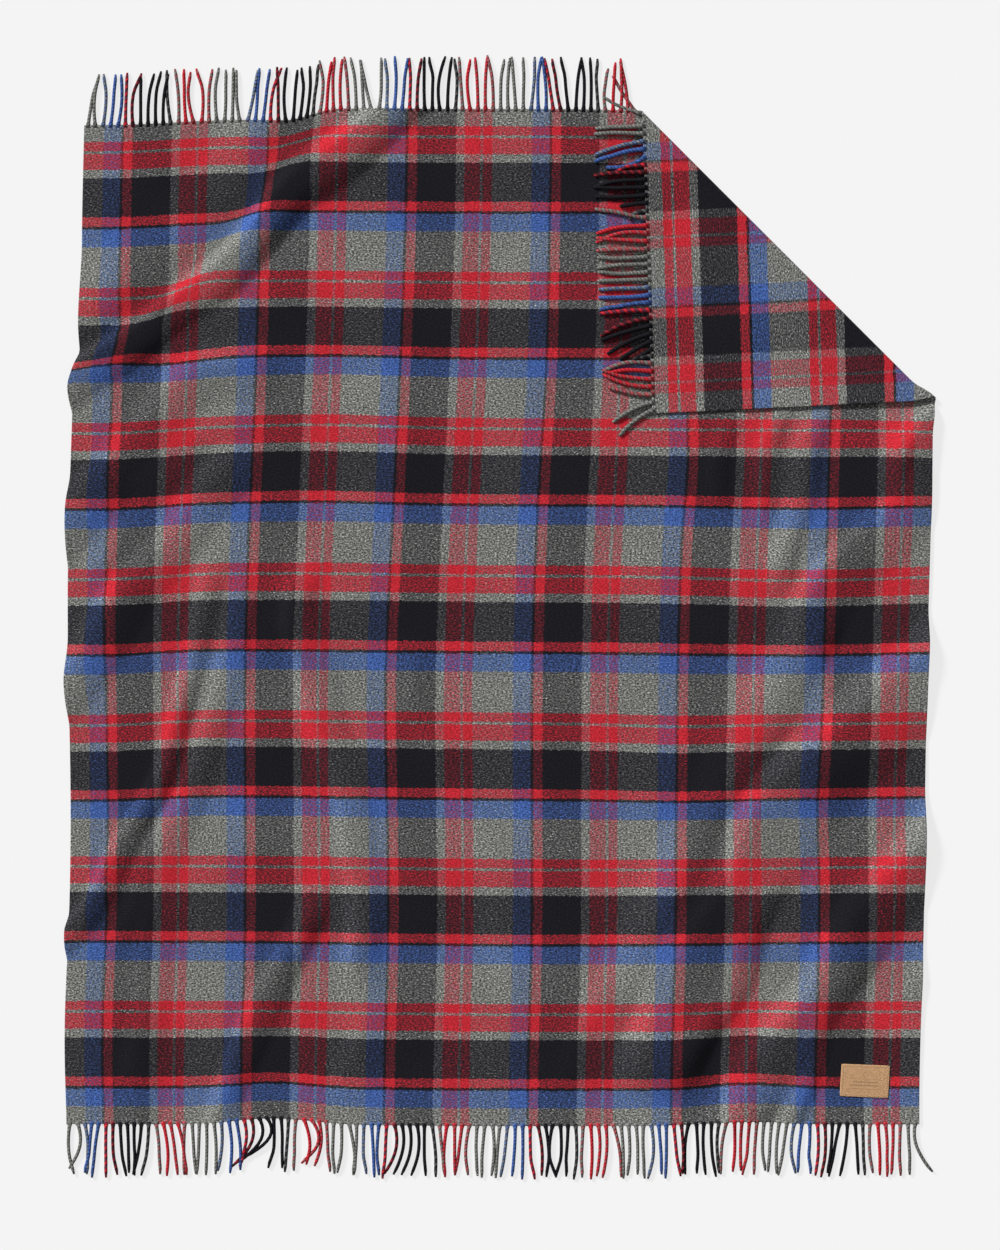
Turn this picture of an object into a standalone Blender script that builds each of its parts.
"""Folded throw blanket, laid flat with one corner turned over.

A brushed wool plaid throw: one woven cloth, a twisted fringe at both ends and a small sewn label.
The cloth lies on z = 0 with its length along Y, and the corner at +X +Y is folded over onto it.
Metres, +Z up. The origin is under the middle of the throw, on the surface that it lies on.
"""

import math

import bmesh
import bpy
from mathutils import Matrix, Vector

# ---- driving dimensions -------------------------------------------------------------------

CLOTH_WIDTH = 1.400  # selvedge to selvedge
CLOTH_LENGTH = 1.650  # end to end, without the fringe
CLOTH_THICKNESS = 0.003  # brushed twill, nap included
CLEARANCE = 0.0003  # between pieces that touch

FRINGE_LENGTH = 0.084  # from the cloth's end to the tassels' tips
FRINGE_ROOT = 0.005  # depth of the strip where the tassels leave the cloth
TASSEL_WIDTH = 0.0042
TIP_TAPER = 0.5  # width left at a tassel's tip, as a share of its width

PLAID_REPEATS = 6  # repeats of the pattern across the width
TASSELS_PER_REPEAT = 19
FOLDED_TASSELS = 38  # tassels on the corner that is turned over

FOLD_HEIGHT = 0.012  # outer height of the rolled crease
CREASE_STEPS = 10  # flats around the half turn of the crease

LABEL_WIDTH = 0.079
LABEL_HEIGHT = 0.053
LABEL_THICKNESS = 0.0016
LABEL_CORNER = 0.0015
LABEL_FROM_SELVEDGE = 0.089  # to the label's centre
LABEL_FROM_END = 0.071  # to the label's centre
LABEL_TILT = math.radians(-2.5)
STITCH_INSET = 0.003
THREAD_RADIUS = 0.0004
CORNER_STEPS = 4  # flats around each of the label's corners

# Threads of each colour across one repeat of the plaid, from the middle of a wide grey stripe.
PLAID_THREADS = (
    ("grey", 28),
    ("blue", 24),
    ("black", 4),
    ("red", 12),
    ("black", 54),
    ("grey", 12),
    ("red", 22),
    ("grey", 4),
    ("red", 12),
    ("grey", 28),
)

FINISHES = {  # colour, roughness, metallic
    "plaid_wool": ((0.16, 0.09, 0.10), 0.95, 0.0),
    "fringe_grey": ((0.24, 0.24, 0.21), 0.95, 0.0),
    "fringe_blue": ((0.06, 0.12, 0.40), 0.95, 0.0),
    "fringe_black": ((0.015, 0.015, 0.020), 0.95, 0.0),
    "fringe_red": ((0.50, 0.02, 0.03), 0.95, 0.0),
    "label_leather": ((0.55, 0.33, 0.16), 0.60, 0.0),
    "label_thread": ((0.62, 0.42, 0.24), 0.80, 0.0),
}

# ---- sizes that follow from them ----------------------------------------------------------

HALF_WIDTH = CLOTH_WIDTH / 2
HALF_LENGTH = CLOTH_LENGTH / 2
TASSEL_COUNT = PLAID_REPEATS * TASSELS_PER_REPEAT
TASSEL_PITCH = CLOTH_WIDTH / TASSEL_COUNT

HINGE_HEIGHT = FOLD_HEIGHT / 2
ROLL_RADIUS = HINGE_HEIGHT - CLOTH_THICKNESS / 2  # to the middle of the cloth
ROLL_LENGTH = math.pi * ROLL_RADIUS  # cloth that the crease takes up
CORNER_LEG = FOLDED_TASSELS * TASSEL_PITCH  # of the flat corner, past the crease
FOLD_LEG = CORNER_LEG + ROLL_LENGTH * math.sqrt(2)  # from the corner to where the crease starts
CORNER_DEPTH = CORNER_LEG / math.sqrt(2)  # from the crease to the corner's point

# The folded corner slopes down from the top of the crease until its fringe lies on the cloth.
CORNER_REACH = CORNER_DEPTH + FRINGE_LENGTH / math.sqrt(2)
CORNER_DROP = FOLD_HEIGHT - 2 * CLOTH_THICKNESS - CLEARANCE
OPEN_ANGLE = math.pi + math.asin(CORNER_DROP / CORNER_REACH)

ALONG_CREASE = Vector((1, -1, 0)).normalized()
ACROSS_CREASE = Vector((1, 1, 0)).normalized()
HINGE_AXIS = -ALONG_CREASE  # turning this way opens the corner
HINGE_POINT = Vector((HALF_WIDTH - FOLD_LEG / 2, HALF_LENGTH - FOLD_LEG / 2, HINGE_HEIGHT))


# ---- helpers ------------------------------------------------------------------------------


def clear_scene():
    """Removes whatever the file opened with."""
    for thing in list(bpy.data.objects):
        bpy.data.objects.remove(thing, do_unlink=True)


def make_material(name):
    """One Principled material, with the colour, roughness and metallic value in FINISHES."""
    colour, roughness, metallic = FINISHES[name]
    material = bpy.data.materials.new(name)
    material.use_nodes = True
    shader = material.node_tree.nodes["Principled BSDF"]
    shader.inputs["Base Color"].default_value = (*colour, 1)
    shader.inputs["Roughness"].default_value = roughness
    shader.inputs["Metallic"].default_value = metallic
    material.diffuse_color = (*colour, 1)
    return material


def add_object(name, data, material, parent=None):
    """Links a new object. With a parent, its data is already in the parent's own frame."""
    thing = bpy.data.objects.new(name, data)
    data.materials.append(material)
    bpy.context.scene.collection.objects.link(thing)
    thing.parent = parent
    return thing


def slab_mesh(name, outline, bottom, thickness, origin=Vector((0, 0, 0))):
    """A flat closed slab: the outline, counter-clockwise from above, raised by the thickness."""
    mesh = bpy.data.meshes.new(name)
    build = bmesh.new()
    corners = [build.verts.new((x - origin.x, y - origin.y, bottom - origin.z)) for x, y in outline]
    floor = build.faces.new(corners)
    raised = bmesh.ops.extrude_face_region(build, geom=[floor])["geom"]
    top = [v for v in raised if isinstance(v, bmesh.types.BMVert)]
    bmesh.ops.translate(build, verts=top, vec=(0, 0, thickness))
    bmesh.ops.recalc_face_normals(build, faces=build.faces)
    build.to_mesh(mesh)
    build.free()
    return mesh


# ---- the cloth ----------------------------------------------------------------------------


def make_cloth(material):
    """The part of the cloth that lies flat: a rectangle without its +X +Y corner."""
    cut = FOLD_LEG + CLEARANCE * math.sqrt(2)
    outline = [
        (-HALF_WIDTH, -HALF_LENGTH),
        (HALF_WIDTH, -HALF_LENGTH),
        (HALF_WIDTH, HALF_LENGTH - cut),
        (HALF_WIDTH - cut, HALF_LENGTH),
        (-HALF_WIDTH, HALF_LENGTH),
    ]
    add_object("throw_cloth", slab_mesh("throw_cloth", outline, 0, CLOTH_THICKNESS), material)


def open_corner_point():
    """Where the corner's point lies when the corner is opened out flat."""
    reach = CORNER_DEPTH + CLEARANCE
    return Vector((HINGE_POINT.x, HINGE_POINT.y, 0)) + ACROSS_CREASE * reach


def make_corner_cloth(material, hinge):
    """The corner past the crease, drawn opened out flat; the hinge empty folds it over."""
    tip = open_corner_point()
    outline = [
        (tip.x, tip.y),
        (tip.x - CORNER_LEG, tip.y),
        (tip.x, tip.y - CORNER_LEG),
    ]
    mesh = slab_mesh("folded_corner_cloth", outline, 0, CLOTH_THICKNESS, HINGE_POINT)
    add_object("folded_corner_cloth", mesh, material, hinge)


def make_crease(material):
    """The rolled crease: a half turn of cloth about the hinge axis.

    Its ends run out of square, because the cloth's edges cross the crease at 45 degrees.
    """
    mesh = bpy.data.meshes.new("crease_roll")
    build = bmesh.new()
    radii = (HINGE_HEIGHT, HINGE_HEIGHT - CLOTH_THICKNESS)
    start_half = FOLD_LEG / math.sqrt(2)
    rings = []
    for step in range(CREASE_STEPS + 1):
        angle = math.pi * step / CREASE_STEPS
        half = start_half - HINGE_HEIGHT * angle
        out, up = math.sin(angle), -math.cos(angle)
        ring = []
        for end, radius in ((-half, radii[0]), (half, radii[0]), (half, radii[1]), (-half, radii[1])):
            across = ACROSS_CREASE * (radius * out)
            point = HINGE_POINT + ALONG_CREASE * end + across + Vector((0, 0, radius * up))
            ring.append(build.verts.new(point))
        rings.append(ring)
    for near, far in zip(rings, rings[1:]):
        for side in range(4):
            other = (side + 1) % 4
            build.faces.new((near[side], near[other], far[other], far[side]))
    build.faces.new(rings[0])
    build.faces.new(rings[-1])
    bmesh.ops.recalc_face_normals(build, faces=build.faces)
    build.to_mesh(mesh)
    build.free()
    add_object("crease_roll", mesh, material)


# ---- the fringe ---------------------------------------------------------------------------


def thread_colour(share):
    """The plaid's colour at a share of one repeat."""
    total = sum(threads for _, threads in PLAID_THREADS)
    passed = 0
    for colour, threads in PLAID_THREADS:
        passed += threads
        if share * total < passed:
            return colour
    return PLAID_THREADS[-1][0]


def fringe_runs(first, last):
    """Splits tassels first to last - 1 into runs of one colour, as [colour, first, count].

    A lone tassel joins the run before it, so that each run is a piece of useful width.
    """
    runs = []
    for tassel in range(first, last):
        share = ((tassel + 0.5) / TASSELS_PER_REPEAT) % 1
        colour = thread_colour(share)
        if runs and runs[-1][0] == colour:
            runs[-1][2] += 1
        else:
            runs.append([colour, tassel, 1])
    joined = []
    for colour, start, count in runs:
        if count == 1 and joined:
            joined[-1][2] += 1
        elif joined and joined[-1][0] == colour:
            joined[-1][2] += count
        else:
            joined.append([colour, start, count])
    return joined


def tassel_outline(centre):
    """One tassel's side and tip, as (along, out) points from left to right."""
    half = TASSEL_WIDTH / 2
    narrow = half * TIP_TAPER
    shoulder = FRINGE_LENGTH - half
    return [
        (centre - half, FRINGE_ROOT),
        (centre - half, shoulder),
        (centre - narrow, FRINGE_LENGTH),
        (centre + narrow, FRINGE_LENGTH),
        (centre + half, shoulder),
        (centre + half, FRINGE_ROOT),
    ]


def comb_outline(start, pitch, count):
    """A run of tassels on their root strip, as (along, out) points around the whole piece."""
    left = start + CLEARANCE / 2
    right = start + count * pitch - CLEARANCE / 2
    points = [(left, CLEARANCE), (left, FRINGE_ROOT)]
    for number in range(count):
        points += tassel_outline(start + (number + 0.5) * pitch)
    return points + [(right, FRINGE_ROOT), (right, CLEARANCE)]


def make_fringe(prefix, tassels, edge_start, pitch, facing, materials, hinge=None):
    """A fringe along one end of the cloth: one comb for each run of colour.

    edge_start is where the first tassel's strip begins on the edge, and facing is +1 or -1 in Y.
    """
    origin = HINGE_POINT if hinge else Vector((0, 0, 0))
    first, last = tassels
    for number, (colour, tassel, count) in enumerate(fringe_runs(first, last), 1):
        points = comb_outline((tassel - first) * pitch, pitch, count)
        outline = [(edge_start.x + along, edge_start.y + facing * out) for along, out in points]
        name = f"{prefix}_{number:02d}_{colour}"
        mesh = slab_mesh(name, outline, 0, CLOTH_THICKNESS, origin)
        add_object(name, mesh, materials[f"fringe_{colour}"], hinge)


def make_fringes(materials, hinge):
    """The fringe at the near end, at the far end, and on the folded corner."""
    near = Vector((-HALF_WIDTH, -HALF_LENGTH, 0))
    make_fringe("fringe_near", (0, TASSEL_COUNT), near, TASSEL_PITCH, -1, materials)

    split = TASSEL_COUNT - FOLDED_TASSELS
    far = Vector((-HALF_WIDTH, HALF_LENGTH, 0))
    far_pitch = (CLOTH_WIDTH - FOLD_LEG) / split
    make_fringe("fringe_far", (0, split), far, far_pitch, 1, materials)

    corner = open_corner_point() - Vector((CORNER_LEG, 0, 0))
    make_fringe("fringe_corner", (split, TASSEL_COUNT), corner, TASSEL_PITCH, 1, materials, hinge)


# ---- the label ----------------------------------------------------------------------------


def rounded_rectangle(width, height, radius):
    """Points around a rectangle with round corners, centred on the origin, counter-clockwise."""
    points = []
    for quarter, (side, end) in enumerate(((1, 1), (-1, 1), (-1, -1), (1, -1))):
        for step in range(CORNER_STEPS + 1):
            angle = math.pi / 2 * (quarter + step / CORNER_STEPS)
            x = side * (width / 2 - radius) + radius * math.cos(angle)
            y = end * (height / 2 - radius) + radius * math.sin(angle)
            points.append((x, y))
    return points


def place_on_label(thing, height):
    """Puts a piece drawn about the label's centre in its place on the cloth."""
    centre = Vector((HALF_WIDTH - LABEL_FROM_SELVEDGE, LABEL_FROM_END - HALF_LENGTH, height))
    thing.location = centre
    thing.rotation_euler = (0, 0, LABEL_TILT)


def make_label(materials):
    """The leather label, and the thread that is sewn around it."""
    bottom = CLOTH_THICKNESS + CLEARANCE
    outline = rounded_rectangle(LABEL_WIDTH, LABEL_HEIGHT, LABEL_CORNER)
    mesh = slab_mesh("leather_label", outline, 0, LABEL_THICKNESS)
    label = add_object("leather_label", mesh, materials["label_leather"])
    place_on_label(label, bottom)

    thread = bpy.data.curves.new("label_stitching", "CURVE")
    thread.dimensions = "3D"
    thread.bevel_depth = THREAD_RADIUS
    thread.bevel_resolution = 1
    line = thread.splines.new("POLY")
    sewn_width = LABEL_WIDTH - 2 * STITCH_INSET
    sewn_height = LABEL_HEIGHT - 2 * STITCH_INSET
    points = rounded_rectangle(sewn_width, sewn_height, LABEL_CORNER)
    line.points.add(len(points) - 1)
    for knot, (x, y) in zip(line.points, points):
        knot.co = (x, y, 0, 1)
    line.use_cyclic_u = True
    stitching = add_object("label_stitching", thread, materials["label_thread"])
    place_on_label(stitching, bottom + LABEL_THICKNESS + CLEARANCE + THREAD_RADIUS)


# ---- the whole throw ----------------------------------------------------------------------


def make_hinge():
    """The empty on the crease's axis that folds the corner over from where it lies open."""
    hinge = bpy.data.objects.new("corner_fold_axis", None)
    bpy.context.scene.collection.objects.link(hinge)
    fold = Matrix.Rotation(-OPEN_ANGLE, 4, HINGE_AXIS)
    hinge.matrix_world = Matrix.Translation(HINGE_POINT) @ fold
    return hinge


def main():
    clear_scene()
    materials = {name: make_material(name) for name in FINISHES}
    hinge = make_hinge()
    make_cloth(materials["plaid_wool"])
    make_corner_cloth(materials["plaid_wool"], hinge)
    make_crease(materials["plaid_wool"])
    make_fringes(materials, hinge)
    make_label(materials)
    bpy.context.view_layer.update()


main()
